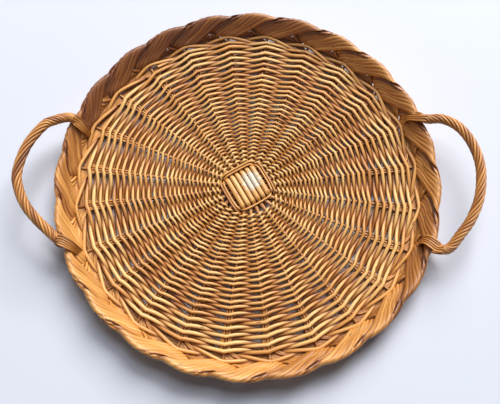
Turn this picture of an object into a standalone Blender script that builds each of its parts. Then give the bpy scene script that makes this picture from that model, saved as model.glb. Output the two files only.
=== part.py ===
"""Round woven willow tray with a plaited border and two twisted bow handles.

The floor is a cross of six pierced sticks over six through sticks, fanned out into 24 spokes.
Two rods bind the cross, a pair of long rods twists its way round the spokes in a spiral, and three
rods close the floor's edge. A bundle of stakes leaves the floor's edge beside each spoke, fans
out and up, turns round the rim and lies down over its top as one leaf of the plait. Each handle is a core
with rods twisted round it, and its ends flatten over the rim and turn down inside it.

Metres, +Z up. The origin is under the middle of the tray, on the surface that it stands on,
and the handles lie along X.
"""
import math

import bmesh
import bpy
from mathutils import Vector

# Gap between pieces that touch
CLEARANCE = 0.0003

# Floor sticks
STICKS_PER_ARM = 6
ARMS = 4
STICK_HEIGHT = 0.0034
STICK_WIDTH = 0.0034
CROSS_PITCH = 0.0056
CROSS_STICK_WIDTH = 0.0051
CROSS_TURN = math.radians(30)
SHOULDER_RUN = 0.0010
NARROWING_RUN = 0.0014
CORNER_CUT = 0.0010

# Weave of the floor
FLOOR_RADIUS = 0.1695
INNER_ROD_THICKNESS = 0.0016
OUTER_ROD_THICKNESS = 0.0029
ROUND_GAP = 0.0004
# Rounds of the twisted pair and share of the way out, from the cross to the edge rods
ROUND_SHARES = (
    (0, 0.000),
    (2, 0.073),
    (5, 0.167),
    (11, 0.370),
    (19, 0.716),
    (24.5, 1.000),
)
# Between two spokes, the rod that goes down swings in and the one that comes up swings out
SWING_IN_SHARE = 0.31
SWING_OUT_SHARE = 0.19
BINDING_WIDTH = 0.0018
BINDING_SETBACK = 0.0008
EDGE_ROD = 0.0028
EDGE_SPREAD = 0.0062
EDGE_RODS = 3

# Border of stake bundles
BUNDLE_THICKNESS = 0.0030
BORDER_STANDOFF = 0.0023
BORDER_REACH = 0.0118
BORDER_BASE = 0.0055
BORDER_RISE = 0.0197
# Spokes passed from a spoke to its bundle's first stake at the floor's edge, and then to the last stake
BUNDLE_START_SHARE = 0.20
FAN_SHARE = 0.72
# Spokes from the first stake to the last where they lie side by side as a leaf, and where that begins
LEAF_SHARE = 0.86
LEAF_RUN_SHARE = 0.56
BUNDLE_LANES = (0, 1 / 3, 2 / 3, 1)
# Spokes passed since the floor's edge, way out and way up along each stake of a bundle
STAKE_PATH_SHARES = (
    (0.00, 0.00, 0.00),
    (0.12, 0.14, 0.18),
    (0.27, 0.34, 0.32),
    (0.42, 0.64, 0.40),
    (0.56, 0.90, 0.49),
    (0.68, 1.00, 0.67),
    (0.80, 0.94, 0.87),
    (0.93, 0.76, 1.00),
    (1.10, 0.54, 0.89),
    (1.30, 0.36, 0.66),
    (1.50, 0.19, 0.48),
    (1.72, 0.04, 0.36),
)

# Handles
HANDLE_STANDOFF = 0.0005
HANDLE_BULGE = 0.0495
HANDLE_HALF_WIDTH = 0.068
HANDLE_END_ANGLE = math.radians(77)
HANDLE_LIFT = 0.0105
ROPE_RADIUS = 0.0050
CORE_RADIUS = 0.0021
CORE_SIDES = 6
STRAND_COUNT = 5
STRAND_SPREAD = math.radians(30)
STRAND_TURNS = 3.4
ROPE_STEPS = 28
SPLICE_WIDTH = 0.0130
SPLICE_THICKNESS = 0.0032
SPLICE_INSET = 0.0065
# Way across the border, way down inside it, width and thickness along one splice
SPLICE_SHARES = (
    (0.23, -0.05, 0.85, 0.35),
    (0.50, -0.01, 0.95, 0.08),
    (0.75, 0.00, 1.00, 0.00),
    (0.88, 0.09, 1.00, 0.00),
    (0.95, 0.35, 0.95, 0.00),
    (0.98, 0.70, 0.90, 0.00),
    (1.00, 1.00, 0.80, 0.00),
)

# Worked out from the sizes above
SPOKES = STICKS_PER_ARM * ARMS
SPOKE_STEP = 2 * math.pi / SPOKES
ARM_STEP = 2 * math.pi / ARMS
OUTER_FAN = SPOKE_STEP * (STICKS_PER_ARM - 1) / 2
OUTER_OFFSET = CROSS_PITCH * (STICKS_PER_ARM - 1) / 2
SLOT_HALF = OUTER_OFFSET + CROSS_STICK_WIDTH / 2 + CLEARANCE
SHOULDER_X = OUTER_OFFSET / math.tan(OUTER_FAN)
FIRST_SPOKE = CROSS_TURN - OUTER_FAN
BORDER_START = FLOOR_RADIUS + BORDER_STANDOFF
HANDLE_CENTRE = FLOOR_RADIUS + HANDLE_STANDOFF


def spoke_gap(radius):
    """Straight distance between the middles of two neighbouring spokes."""
    return 2 * radius * math.sin(SPOKE_STEP / 2)


def rod_lift(radius, thickness):
    """Height of a rod over the spokes' middle, so that its slope clears the spoke it has crossed."""
    reach = STICK_HEIGHT / 2 + CLEARANCE
    half = thickness / 2
    spare = 1 - (2 * reach / spoke_gap(radius)) ** 2
    return (half + math.sqrt(half ** 2 + spare * (reach ** 2 - half ** 2))) / spare


FLOOR_MIDDLE = rod_lift(FLOOR_RADIUS, OUTER_ROD_THICKNESS) + OUTER_ROD_THICKNESS / 2
FLOOR_TOP = 2 * FLOOR_MIDDLE

BINDING_FIRST = SHOULDER_X + BINDING_SETBACK + BINDING_WIDTH / 2
BINDING_SECOND = BINDING_FIRST + BINDING_WIDTH + ROUND_GAP
BINDING_CORNER = BINDING_SECOND / math.cos(OUTER_FAN)

EDGE_OUTER = FLOOR_RADIUS - EDGE_ROD / 2
EDGE_INNER = EDGE_OUTER - EDGE_SPREAD


def round_share(count):
    """Share of the way out after that many rounds; it runs on past both ends."""
    for (first, start), (last, end) in zip(ROUND_SHARES, ROUND_SHARES[1:]):
        if count < last:
            break
    return start + (end - start) * (count - first) / (last - first)


# Each of the two rods takes half the distance between two rounds, so a quarter lies on each side of it
WEAVE_ROUNDS = ROUND_SHARES[-1][0]
WEAVE_INNER_EDGE = BINDING_CORNER + BINDING_WIDTH / 2 + CLEARANCE
WEAVE_OUTER_EDGE = EDGE_INNER - EDGE_ROD / 2 - CLEARANCE
INNER_MARGIN_SHARE = (SWING_IN_SHARE + 1 / 4) * round_share(1)
OUTER_MARGIN_SHARE = (SWING_OUT_SHARE + 1 / 4) * (1 - round_share(WEAVE_ROUNDS - 1))
WEAVE_DEPTH = (WEAVE_OUTER_EDGE - WEAVE_INNER_EDGE) / (1 + INNER_MARGIN_SHARE + OUTER_MARGIN_SHARE)
FIRST_ROUND = WEAVE_INNER_EDGE + WEAVE_DEPTH * INNER_MARGIN_SHARE


def round_radius(count):
    """Radius of the weave at a spoke after that many rounds."""
    return FIRST_ROUND + WEAVE_DEPTH * round_share(count)


def round_pitch(count):
    """Distance to the nearer of the two neighbouring rounds."""
    radius = round_radius(count)
    return min(radius - round_radius(count - 1), round_radius(count + 1) - radius)


def polar(radius, angle, height):
    """Point at a radius and an angle round the tray's axis."""
    return Vector((radius * math.cos(angle), radius * math.sin(angle), height))


def clear_scene():
    """Removes whatever the file opened with."""
    for item in list(bpy.data.objects):
        bpy.data.objects.remove(item)


def willow(name, colour, roughness):
    """Waxed willow of one shade."""
    material = bpy.data.materials.new(name)
    material.use_nodes = True
    shader = material.node_tree.nodes["Principled BSDF"]
    shader.inputs["Base Color"].default_value = (*colour, 1)
    shader.inputs["Roughness"].default_value = roughness
    shader.inputs["Metallic"].default_value = 0
    return material


def add_empty(name, parent=None):
    """Empty that carries a group of pieces."""
    empty = bpy.data.objects.new(name, None)
    empty.parent = parent
    bpy.context.collection.objects.link(empty)
    return empty


def add_object(name, mesh, parent, height=0.0, turn=0.0):
    """Places a mesh at a height and a turn about the tray's axis."""
    piece = bpy.data.objects.new(name, mesh)
    piece.location.z = height
    piece.rotation_euler.z = turn
    piece.parent = parent
    bpy.context.collection.objects.link(piece)
    return piece


def swept_mesh(name, sections, material, closed=False):
    """Extrudes a flat section through rings of points; a closed sweep joins its own start."""
    shape = bmesh.new()
    start = shape.faces.new([shape.verts.new(point) for point in sections[0]])
    front = start
    for section in sections[1:]:
        grown = bmesh.ops.extrude_face_region(shape, geom=[front])["geom"]
        if front != start:
            bmesh.ops.delete(shape, geom=[front], context="FACES_ONLY")
        front = next(item for item in grown if isinstance(item, bmesh.types.BMFace))
        for vert, point in zip(front.verts, section):
            vert.co = point
    if closed:
        seam = list(start.edges) + list(front.edges)
        bmesh.ops.delete(shape, geom=[start, front], context="FACES_ONLY")
        bmesh.ops.bridge_loops(shape, edges=seam)
    bmesh.ops.recalc_face_normals(shape, faces=shape.faces)
    mesh = bpy.data.meshes.new(name)
    shape.to_mesh(mesh)
    shape.free()
    mesh.shade_smooth()
    mesh.set_sharp_from_angle(angle=math.radians(50))
    mesh.materials.append(material)
    return mesh


def ring(centre, side, up, outline):
    """Places outline points, each a distance to the side and up, round a centre."""
    return [centre + side * across + up * above for across, above in outline]


def diamond(width, thickness):
    """Four-cornered outline of a split rod."""
    return ((width / 2, 0), (0, thickness / 2), (-width / 2, 0), (0, -thickness / 2))


def ridge(width, thickness):
    """Three-cornered outline of a rod, flat side down."""
    return ((width / 2, -thickness / 2), (0, thickness / 2), (-width / 2, -thickness / 2))


def cut_corners(width, height):
    """Rectangle with its corners cut off, the outline of a peeled stick."""
    cut = min(CORNER_CUT, width / 3, height / 3)
    x = width / 2
    y = height / 2
    return ((x, y - cut), (x - cut, y), (cut - x, y), (-x, y - cut),
            (-x, cut - y), (cut - x, -y), (x - cut, -y), (x, cut - y))


def round_outline(radius, corners):
    """Regular outline."""
    turns = [2 * math.pi * corner / corners for corner in range(corners)]
    return [(radius * math.cos(turn), radius * math.sin(turn)) for turn in turns]


def half_stick(offset, fan, middle_height):
    """Places, widths and heights from the cross out to one tip, in the arm's own direction."""
    kink = Vector((offset / math.tan(fan), offset, 0))
    outward = Vector((math.cos(fan), math.sin(fan), 0))
    narrow = kink + outward * NARROWING_RUN
    tip = outward * (FLOOR_RADIUS - CLEARANCE)
    stations = [(Vector((SHOULDER_X - SHOULDER_RUN, offset, 0)), CROSS_STICK_WIDTH, middle_height)]
    if kink.x - SHOULDER_X > CLEARANCE:
        stations.append((Vector((SHOULDER_X, offset, 0)), CROSS_STICK_WIDTH, STICK_HEIGHT))
    stations.append((kink, CROSS_STICK_WIDTH, STICK_HEIGHT))
    stations.append((narrow, STICK_WIDTH, STICK_HEIGHT))
    stations.append((tip, STICK_WIDTH, STICK_HEIGHT))
    return stations


def stick_mesh(name, place, middle_height, material):
    """One stick of an arm, straight through the cross and fanned out at both ends."""
    step = place - (STICKS_PER_ARM - 1) / 2
    outer = half_stick(CROSS_PITCH * step, SPOKE_STEP * step, middle_height)
    mirrored = [(Vector((-point.x, point.y, 0)), width, height) for point, width, height in outer]
    stations = mirrored[::-1] + outer
    up = Vector((0, 0, 1))
    sections = []
    for index, (point, width, height) in enumerate(stations):
        before = stations[max(index - 1, 0)][0]
        after = stations[min(index + 1, len(stations) - 1)][0]
        backward = (point - before).normalized()
        forward = (after - point).normalized()
        along = (backward + forward).normalized()
        side = along.cross(up)
        stretch = 1 / max(along.dot(forward), along.dot(backward))
        sections.append(ring(point, side * stretch, up, cut_corners(width, height)))
    return swept_mesh(name, sections, material)


def cut_slot(piece, place):
    """Splits a stick where the through sticks pass, with a box that is removed from it."""
    slot = bmesh.new()
    bmesh.ops.create_cube(slot, size=1)
    size = Vector((2 * SLOT_HALF, 2 * CROSS_PITCH, STICK_HEIGHT + 2 * CLEARANCE))
    bmesh.ops.scale(slot, verts=slot.verts, vec=size)
    offset = CROSS_PITCH * (place - (STICKS_PER_ARM - 1) / 2)
    bmesh.ops.translate(slot, verts=slot.verts, vec=Vector((0, offset, 0)))
    mesh = bpy.data.meshes.new(piece.name + "_slot")
    slot.to_mesh(mesh)
    slot.free()
    cutter = bpy.data.objects.new(piece.name + "_slot", mesh)
    cutter.parent = piece
    cutter.hide_render = True
    cutter.display_type = "WIRE"
    bpy.context.collection.objects.link(cutter)
    cut = piece.modifiers.new("slot", "BOOLEAN")
    cut.operation = "DIFFERENCE"
    cut.solver = "EXACT"
    cut.object = cutter


def add_cross(tray):
    """Six pierced sticks and the six that pass through their slots."""
    pierced = willow("pierced_willow", (0.62, 0.42, 0.22), 0.45)
    through = willow("through_willow", (0.55, 0.35, 0.17), 0.45)
    for place in range(STICKS_PER_ARM):
        name = f"pierced_stick_{place + 1}"
        mesh = stick_mesh(name, place, FLOOR_TOP, pierced)
        piece = add_object(name, mesh, tray, FLOOR_MIDDLE, CROSS_TURN + ARM_STEP)
        cut_slot(piece, place)
        name = f"through_stick_{place + 1}"
        mesh = stick_mesh(name, place, STICK_HEIGHT, through)
        add_object(name, mesh, tray, FLOOR_MIDDLE, CROSS_TURN)


def binding_mesh(name, distance, first_side, material):
    """Rod laid square round the cross, over one pair of arms and under the other."""
    corner = distance / math.cos(OUTER_FAN)
    lift = rod_lift(corner, INNER_ROD_THICKNESS)
    outline = diamond(BINDING_WIDTH, INNER_ROD_THICKNESS)
    sections = []
    for arm in range(ARMS):
        side = first_side if arm % 2 == 0 else -first_side
        for fan in (-OUTER_FAN, OUTER_FAN):
            angle = CROSS_TURN + arm * ARM_STEP + fan
            outward = polar(1, angle, 0)
            sections.append(ring(polar(corner, angle, side * lift), outward, Vector((0, 0, 1)), outline))
    return swept_mesh(name, sections, material, closed=True)


def weaver_section(count, place, swing, height_share):
    """Section of a weaving rod at a place along the spiral, in spokes from its start."""
    pitch = round_pitch(count)
    run = count / WEAVE_ROUNDS
    thickness = INNER_ROD_THICKNESS + (OUTER_ROD_THICKNESS - INNER_ROD_THICKNESS) * run
    radius = round_radius(count)
    height = rod_lift(radius, thickness) * height_share
    if height_share == 0:
        radius *= math.cos(SPOKE_STEP / 2)
    angle = FIRST_SPOKE + place * SPOKE_STEP
    centre = polar(radius + swing * pitch, angle, height)
    return ring(centre, polar(1, angle, 0), Vector((0, 0, 1)), ridge(pitch / 2 - ROUND_GAP, thickness))


def weaver_mesh(name, start_side, material):
    """One rod of the twisted pair: over a spoke, inward and under the next, outward and over again."""
    sections = []
    side = start_side
    for step in range(int(SPOKES * WEAVE_ROUNDS)):
        sections.append(weaver_section(step / SPOKES, step, 0, side))
        swing = -SWING_IN_SHARE if side > 0 else SWING_OUT_SHARE
        sections.append(weaver_section((step + 0.5) / SPOKES, step + 0.5, swing, 0))
        side = -side
    sections.append(weaver_section(WEAVE_ROUNDS, SPOKES * WEAVE_ROUNDS, 0, side))
    return swept_mesh(name, sections, material)


def edge_mesh(name, phase, material):
    """Rod of the floor's edge: over one spoke on its way out, then under two on its way back."""
    lift = rod_lift(FLOOR_RADIUS, EDGE_ROD)
    states = (((EDGE_INNER + EDGE_OUTER) / 2, lift), (EDGE_OUTER, -lift), (EDGE_INNER, -lift))
    outline = diamond(EDGE_ROD, EDGE_ROD)
    sections = []
    for spoke in range(SPOKES):
        radius, height = states[(spoke + phase) % EDGE_RODS]
        angle = FIRST_SPOKE + spoke * SPOKE_STEP
        sections.append(ring(polar(radius, angle, height), polar(1, angle, 0), Vector((0, 0, 1)), outline))
    return swept_mesh(name, sections, material, closed=True)


def add_weave(tray):
    """Bindings, spiral weavers and the rods of the floor's edge."""
    binding = willow("binding_willow", (0.58, 0.34, 0.14), 0.4)
    for name, distance, side in (("cross_binding_a", BINDING_FIRST, 1),
                                 ("cross_binding_b", BINDING_SECOND, -1)):
        add_object(name, binding_mesh(name, distance, side, binding), tray, FLOOR_MIDDLE)
    for name, start_side, colour in (("floor_weaver_a", 1, (0.66, 0.43, 0.20)),
                                     ("floor_weaver_b", -1, (0.58, 0.34, 0.14))):
        shade = willow(name + "_willow", colour, 0.4)
        add_object(name, weaver_mesh(name, start_side, shade), tray, FLOOR_MIDDLE)
    edge = willow("edge_willow", (0.60, 0.36, 0.15), 0.4)
    for rod in range(EDGE_RODS):
        name = f"edge_rod_{rod + 1}"
        add_object(name, edge_mesh(name, rod, edge), tray, FLOOR_MIDDLE)


def stake_place(share):
    """Way out and way up of a stake at one row of its path."""
    _, out, up = share
    return Vector((BORDER_START + BORDER_REACH * out, BORDER_BASE + BORDER_RISE * up))


def bundle_section(index):
    """Corners of a bundle at one row of its path: stakes side by side round the tray, thin at both edges."""
    passed = STAKE_PATH_SHARES[index][0]
    place = stake_place(STAKE_PATH_SHARES[index])
    before = stake_place(STAKE_PATH_SHARES[max(index - 1, 0)])
    after = stake_place(STAKE_PATH_SHARES[min(index + 1, len(STAKE_PATH_SHARES) - 1)])
    along = (after - before).normalized()
    half = Vector((along.y, -along.x)) * BUNDLE_THICKNESS / 2
    spread = FAN_SHARE + (LEAF_SHARE - FAN_SHARE) * min(passed / LEAF_RUN_SHARE, 1)
    outer = []
    inner = []
    for lane in BUNDLE_LANES:
        angle = (BUNDLE_START_SHARE + passed + lane * spread) * SPOKE_STEP
        side = half if 0 < lane < 1 else half * 0
        outer.append(polar((place + side).x, angle, (place + side).y))
        inner.append(polar((place - side).x, angle, (place - side).y))
    return outer + inner[-2:0:-1]


def bundle_mesh(name, material):
    """Stakes of a bundle: up from the floor's edge, out, round the rim and down over it as a leaf."""
    sections = [bundle_section(index) for index in range(len(STAKE_PATH_SHARES))]
    return swept_mesh(name, sections, material)


def add_border(tray):
    """One bundle of stakes beside each spoke."""
    leaf = bundle_mesh("border_bundle", willow("border_willow", (0.64, 0.37, 0.14), 0.38))
    for spoke in range(SPOKES):
        add_object(f"border_bundle_{spoke + 1:02d}", leaf, tray, turn=FIRST_SPOKE + spoke * SPOKE_STEP)


BORDER_TOP = BORDER_BASE + BORDER_RISE + BUNDLE_THICKNESS / 2
SPLICE_LEVEL = BORDER_TOP + 2 * CLEARANCE + SPLICE_THICKNESS / 2
ROPE_LEVEL = BORDER_TOP + 2 * CLEARANCE + ROPE_RADIUS - SPLICE_THICKNESS / 2


def rope_point(angle):
    """Middle of the handle's rope: half an oval in plan, which rises towards its bow."""
    x = HANDLE_CENTRE + HANDLE_BULGE * math.cos(angle)
    y = HANDLE_HALF_WIDTH * math.sin(angle)
    rise = (math.cos(angle) - math.cos(HANDLE_END_ANGLE)) / (1 - math.cos(HANDLE_END_ANGLE))
    return Vector((x, y, ROPE_LEVEL + HANDLE_LIFT * rise))


def rope_frames():
    """Middle, side and upward directions at each step along the rope, and the step's share."""
    frames = []
    for step in range(ROPE_STEPS + 1):
        run = step / ROPE_STEPS
        angle = HANDLE_END_ANGLE * (2 * run - 1)
        small = HANDLE_END_ANGLE / ROPE_STEPS
        along = (rope_point(angle + small) - rope_point(angle - small)).normalized()
        side = along.cross(Vector((0, 0, 1))).normalized()
        frames.append((rope_point(angle), side, side.cross(along), run))
    return frames


def core_mesh(name, material):
    """Straight-grained rod inside the rope."""
    outline = round_outline(CORE_RADIUS, CORE_SIDES)
    sections = [ring(point, side, up, outline) for point, side, up, _ in rope_frames()]
    return swept_mesh(name, sections, material)


def strand_mesh(name, place, material):
    """Rod that winds round the core from one end of the handle to the other."""
    inner = CORE_RADIUS + 2 * CLEARANCE
    middle = (inner + ROPE_RADIUS) / 2
    sections = []
    for point, side, up, run in rope_frames():
        phase = 2 * math.pi * (place / STRAND_COUNT - STRAND_TURNS * run)
        corners = ((ROPE_RADIUS, 0), (middle, STRAND_SPREAD), (inner, 0), (middle, -STRAND_SPREAD))
        outline = [(radius * math.cos(phase + swing), radius * math.sin(phase + swing))
                   for radius, swing in corners]
        sections.append(ring(point, side, up, outline))
    return swept_mesh(name, sections, material)


def splice_mesh(name, mirror, material):
    """Flattened end of the rope: over the border, then down inside it to the floor."""
    end, end_side, end_up, _ = rope_frames()[-1]
    start = end + end_up.cross(end_side) * CLEARANCE
    inner = polar(FLOOR_RADIUS - SPLICE_INSET, FIRST_SPOKE + 2 * SPOKE_STEP, FLOOR_TOP + 2 * CLEARANCE)
    side = (inner - start).cross(Vector((0, 0, 1))).normalized()
    stations = [(start, 2 * ROPE_RADIUS, 2 * ROPE_RADIUS)]
    for across, down, width, thick in SPLICE_SHARES:
        place = start.lerp(inner, across)
        place.z = SPLICE_LEVEL + (inner.z - SPLICE_LEVEL) * down
        thickness = SPLICE_THICKNESS + (2 * ROPE_RADIUS - SPLICE_THICKNESS) * thick
        stations.append((place, SPLICE_WIDTH * width, thickness))
    sections = [ring(start, end_side, end_up, cut_corners(2 * ROPE_RADIUS, 2 * ROPE_RADIUS))]
    for index in range(1, len(stations)):
        point, width, thickness = stations[index]
        after = stations[min(index + 1, len(stations) - 1)][0]
        up = side.cross(after - stations[index - 1][0]).normalized()
        sections.append(ring(point, side, up, cut_corners(width, thickness)))
    if mirror:
        sections = [[Vector((point.x, -point.y, point.z)) for point in section] for section in sections]
    return swept_mesh(name, sections, material)


def add_handle(tray, side_name, turn):
    """Core, strands and the two splices of one handle."""
    handle = add_empty("handle_" + side_name, tray)
    handle.rotation_euler.z = turn
    core = willow(f"core_{side_name}_willow", (0.50, 0.30, 0.13), 0.45)
    name = "handle_core_" + side_name
    add_object(name, core_mesh(name, core), handle)
    shade = willow(f"strand_{side_name}_willow", (0.56, 0.32, 0.13), 0.4)
    for place in range(STRAND_COUNT):
        name = f"handle_strand_{side_name}_{place + 1}"
        add_object(name, strand_mesh(name, place, shade), handle)
    for end_name, mirror in (("back", False), ("front", True)):
        name = f"handle_splice_{side_name}_{end_name}"
        add_object(name, splice_mesh(name, mirror, shade), handle)


def main():
    """Builds the whole tray."""
    clear_scene()
    tray = add_empty("tray")
    add_cross(tray)
    add_weave(tray)
    add_border(tray)
    add_handle(tray, "right", 0)
    add_handle(tray, "left", math.pi)


main()
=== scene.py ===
"""Looks of the round woven willow tray: every rod of its floor, border and handles.

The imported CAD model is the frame. Its woven solids are hidden, and rods of peeled, waxed willow
take their places: split and through sticks, a twisted pair of weavers, the three rods that lock the
floor's edge, the stakes of the plaited border and the rods of the rope handles.
Metres, +Z up, as in the frame.
"""
import math
from collections import namedtuple

import bpy
import numpy as np
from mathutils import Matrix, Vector


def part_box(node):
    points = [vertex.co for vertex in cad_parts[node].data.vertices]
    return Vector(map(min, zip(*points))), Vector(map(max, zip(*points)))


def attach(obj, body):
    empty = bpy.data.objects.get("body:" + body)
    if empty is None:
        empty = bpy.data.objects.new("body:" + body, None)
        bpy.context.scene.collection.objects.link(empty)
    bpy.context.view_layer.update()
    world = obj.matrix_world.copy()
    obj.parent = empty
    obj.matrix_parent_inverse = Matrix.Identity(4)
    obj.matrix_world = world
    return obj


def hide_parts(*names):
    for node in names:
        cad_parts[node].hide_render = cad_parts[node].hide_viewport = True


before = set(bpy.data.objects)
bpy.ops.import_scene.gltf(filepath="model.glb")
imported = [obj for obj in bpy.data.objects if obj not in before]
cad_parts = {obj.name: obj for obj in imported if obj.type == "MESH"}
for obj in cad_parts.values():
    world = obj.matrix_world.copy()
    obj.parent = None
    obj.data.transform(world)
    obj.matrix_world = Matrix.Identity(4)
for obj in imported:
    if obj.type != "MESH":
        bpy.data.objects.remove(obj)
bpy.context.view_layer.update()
chance = np.random.default_rng(24)

TURN = 2 * math.pi
UP = np.array((0.0, 0.0, 1.0))
MM = 0.001

# Cross of sticks, as in the CAD
STICKS_PER_ARM = 6
ARMS = 4
SPOKES = STICKS_PER_ARM * ARMS
SPOKE_STEP = TURN / SPOKES
CROSS_PITCH = 5.6 * MM
CROSS_STICK_WIDTH = 5.1 * MM
CROSS_TURN = math.radians(30)
OUTER_FAN = SPOKE_STEP * (STICKS_PER_ARM - 1) / 2
FIRST_SPOKE = CROSS_TURN - OUTER_FAN
SPOKE_PLAY = 0.010
FLOOR_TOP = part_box("pierced_stick_1")[1][2]
FLOOR_MIDDLE = FLOOR_TOP / 2
FLOOR_RADIUS = 169.5 * MM
STICK_HEIGHT = 3.4 * MM
STICK_TIP = 2.9 * MM
THROUGH_WIDTH = CROSS_STICK_WIDTH * 0.94
THROUGH_HALF_LENGTH = 20 * MM
THROUGH_POINTS = 7
# A stick's round end starts this far inside its kink, and goes on through these radii
KINK_BACKS = (4 * MM, 2 * MM, 0.4 * MM)
STICK_RADII = (32 * MM, 45 * MM, 70 * MM, 100 * MM, 135 * MM, FLOOR_RADIUS)
# Its width and thickness at the kink, a little further out and at the tip
TAPER_RADIUS = 30 * MM
STICK_WIDTHS = (4.6 * MM, 3.5 * MM, STICK_TIP)
STICK_HEIGHTS = (STICK_HEIGHT, 3.3 * MM, STICK_TIP)
# Half of a split stick in mm: way out from the cross's middle, way up, width and thickness
SPLIT_STATIONS = ((0, 3.33, 5.2, 3.1), (9, 3.33, 5.2, 3.1), (14.2, 3.2, 5.1, 3.1), (15.8, 2.5, 4.9, 2.9),
                  (17.4, 1.1, 4.6, 2.3), (18.8, 0.6, 4.2, 2.0), (21.5, 0.5, 3.6, 1.6))
# Loops that bind the cross: piece, CAD node, and each loop's distance, width and the arms it goes over
TIES = (
    ("cross_tie_a", "cross_binding_a", ((19.9 * MM, 2.1 * MM, (0, 2)), (22.3 * MM, 2.3 * MM, (0, 2)))),
    ("cross_tie_b", "cross_binding_b", ((19.9 * MM, 2.1 * MM, (1, 3)), (22.5 * MM, 2.3 * MM, (1,)))),
)
TIE_POINTS = 5
TIE_CORNER = 1.2 * MM
TIE_FLATNESS = 0.92

# Weave: radius of the pair and width of its rods after some rounds; the CAD's weave starts at round 0
WEAVE_ROUNDS = (-1, 0, 2, 5, 11, 19, 23.4, 24.4, 25.4)
WEAVE_RADII = (27.1 * MM, 31.7 * MM, 40.9 * MM, 52.7 * MM, 78.2 * MM, 121.7 * MM, 151.0 * MM, 158.2 * MM,
               163.0 * MM)
ROD_WIDTHS = (2.2 * MM, 2.6 * MM, 2.5 * MM, 2.4 * MM, 2.8 * MM, 3.4 * MM, 3.8 * MM, 4.0 * MM, 3.8 * MM)
ROD_FLATNESS = 0.88
# Between two spokes a rod leans aside by a share of the weave's pitch, inward as it goes down
LEAVING_SHARE = -0.33
RISING_SHARE = 0.18
LEAN_POWER = 0.82
GAP_STEPS = (0.0, 0.09, 0.24, 0.42, 0.62, 0.84)
# Length of a single rod, the fewest points of the last one, and its thickness from butt to tip
SHORTEST_ROD = 0.50
LONGEST_ROD = 0.85
FEWEST_POINTS = 90
BUTT_SHARE = 1.07
TIP_SHARE = 0.90
RADIUS_PLAY = 0.30 * MM

# Three rods of the floor's edge: spokes passed, radius and share of the lift along each
LOCK_WIDTH = 3.9 * MM
LOCK_RODS = 3
LOCK_PATH = (
    (0.00, 168.8, 1.00),
    (0.08, 168.7, 0.98),
    (0.30, 167.4, 0.60),
    (0.50, 166.4, 0.00),
    (0.75, 165.6, -0.75),
    (1.00, 165.2, -1.00),
    (1.50, 164.0, -1.00),
    (2.00, 162.8, -1.00),
    (2.30, 162.2, -0.20),
    (2.60, 164.4, 0.65),
    (2.92, 168.2, 0.98),
)

# Border of stake bundles, as in the CAD
STAKES = 8
STAKE_THIN = 1.65 * MM
# In spokes: where a bundle leaves the floor's edge, its breadth there and as a leaf, and the run between
BUNDLE_START_SHARE = 0.20
FAN_SHARE = 0.72
LEAF_SHARE = 0.95
LEAF_RUN_SHARE = 0.20
# Spokes passed since the floor's edge, radius and height in mm of each stake of a bundle
STAKE_PATH = (
    (0.00, 170.9, 5.0),
    (0.11, 173.2, 8.9),
    (0.21, 175.6, 11.4),
    (0.30, 178.4, 12.2),
    (0.40, 180.6, 13.2),
    (0.56, 181.8, 14.6),
    (0.80, 182.4, 16.8),
    (1.04, 183.0, 19.0),
    (1.26, 183.5, 21.2),
    (1.48, 183.9, 23.2),
    (1.66, 183.9, 24.7),
    (1.78, 182.8, 25.0),
    (1.90, 180.8, 23.6),
    (2.02, 178.6, 20.8),
    (2.14, 176.6, 17.6),
    (2.26, 175.0, 14.9),
    (2.38, 173.2, 12.5),
    (2.50, 171.5, 10.4),
    (2.62, 170.5, 8.8),
    (2.80, 170.0, 7.0),
)
# Where the first, middle and last stakes of a bundle end, in spokes passed
STAKE_ENDS = (2.68, 2.52, 2.30)
STAKE_END_PLAY = 0.03
# Width and flatness of a stake by spokes passed
STAKE_RUN = (0.0, 0.1, 0.35, 0.6, 1.3, 1.6, 2.3, 2.8)
STAKE_WIDTHS = (2.8 * MM, 3.4 * MM, 3.4 * MM, 3.0 * MM, 3.2 * MM, 4.7 * MM, 4.7 * MM, 3.4 * MM)
STAKE_FLATNESS = (0.85, 0.75, 0.70, 0.62, 0.62, 0.42, 0.42, 0.55)
# Lift over the rim of the leaf's first, middle and last stake, and of the fan's first and last
LEAF_LIFTS = (1.6 * MM, 0.7 * MM, -2.4 * MM)
FAN_LIFTS = (2.4 * MM, -0.4 * MM)
LIFT_PLAY = 0.12 * MM
# The fan's lift grows over the first run, and gives way to the leaf's over the next, in spokes passed
FAN_RUN = 0.15
RIM_START = 0.3
RIM_RUN = 0.3
# The rim's outline goes in at a notch between two leaves, and out and a little up along each leaf
SCALLOP = 3.4 * MM
SCALLOP_MIDDLE = 0.75
SCALLOP_RISE = 0.4
NOTCH_SHARE = -0.12
SCALLOP_RUN = (0.7, 1.3, 1.9, 2.25)
# Each stake's end dips between the stakes of the leaves below
END_RUN = 0.14
END_DIP = 5 * MM
# Painted shadow: the last stakes of a leaf are darker beside the next leaf, whose edge shades them: share of
# the leaf and spokes passed
SEAM_SHADOW = 0.70
SEAM_LANES = (0.68, 1.0)
SEAM_RUN = (1.4, 1.6, 2.15, 2.3)
# Where each stake starts beside its spoke, in mm: aside, above the floor's middle, and innermost radius
STAKE_SEATS = ((-4.2, 0.8, 150), (-4.2, -0.9, 152), (-2.5, 0.8, 122), (-2.5, -0.9, 126),
               (2.5, -0.9, 128), (2.5, 0.8, 118), (4.2, -0.9, 152), (4.2, 0.8, 148))
SEAT_PLAY = 7
SEAT_END = 158
SEAT_POINTS = 4
# From there it bends out to the floor's edge, at these shares of the way, and goes down a little
BEND_STEPS = (0.3, 0.6, 0.85)
BEND_OUT_POWER = 0.8
BEND_TURN_POWER = 1.25
BEND_UNDER = -1.9 * MM
BEND_DROP = 0.4 * MM

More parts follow.
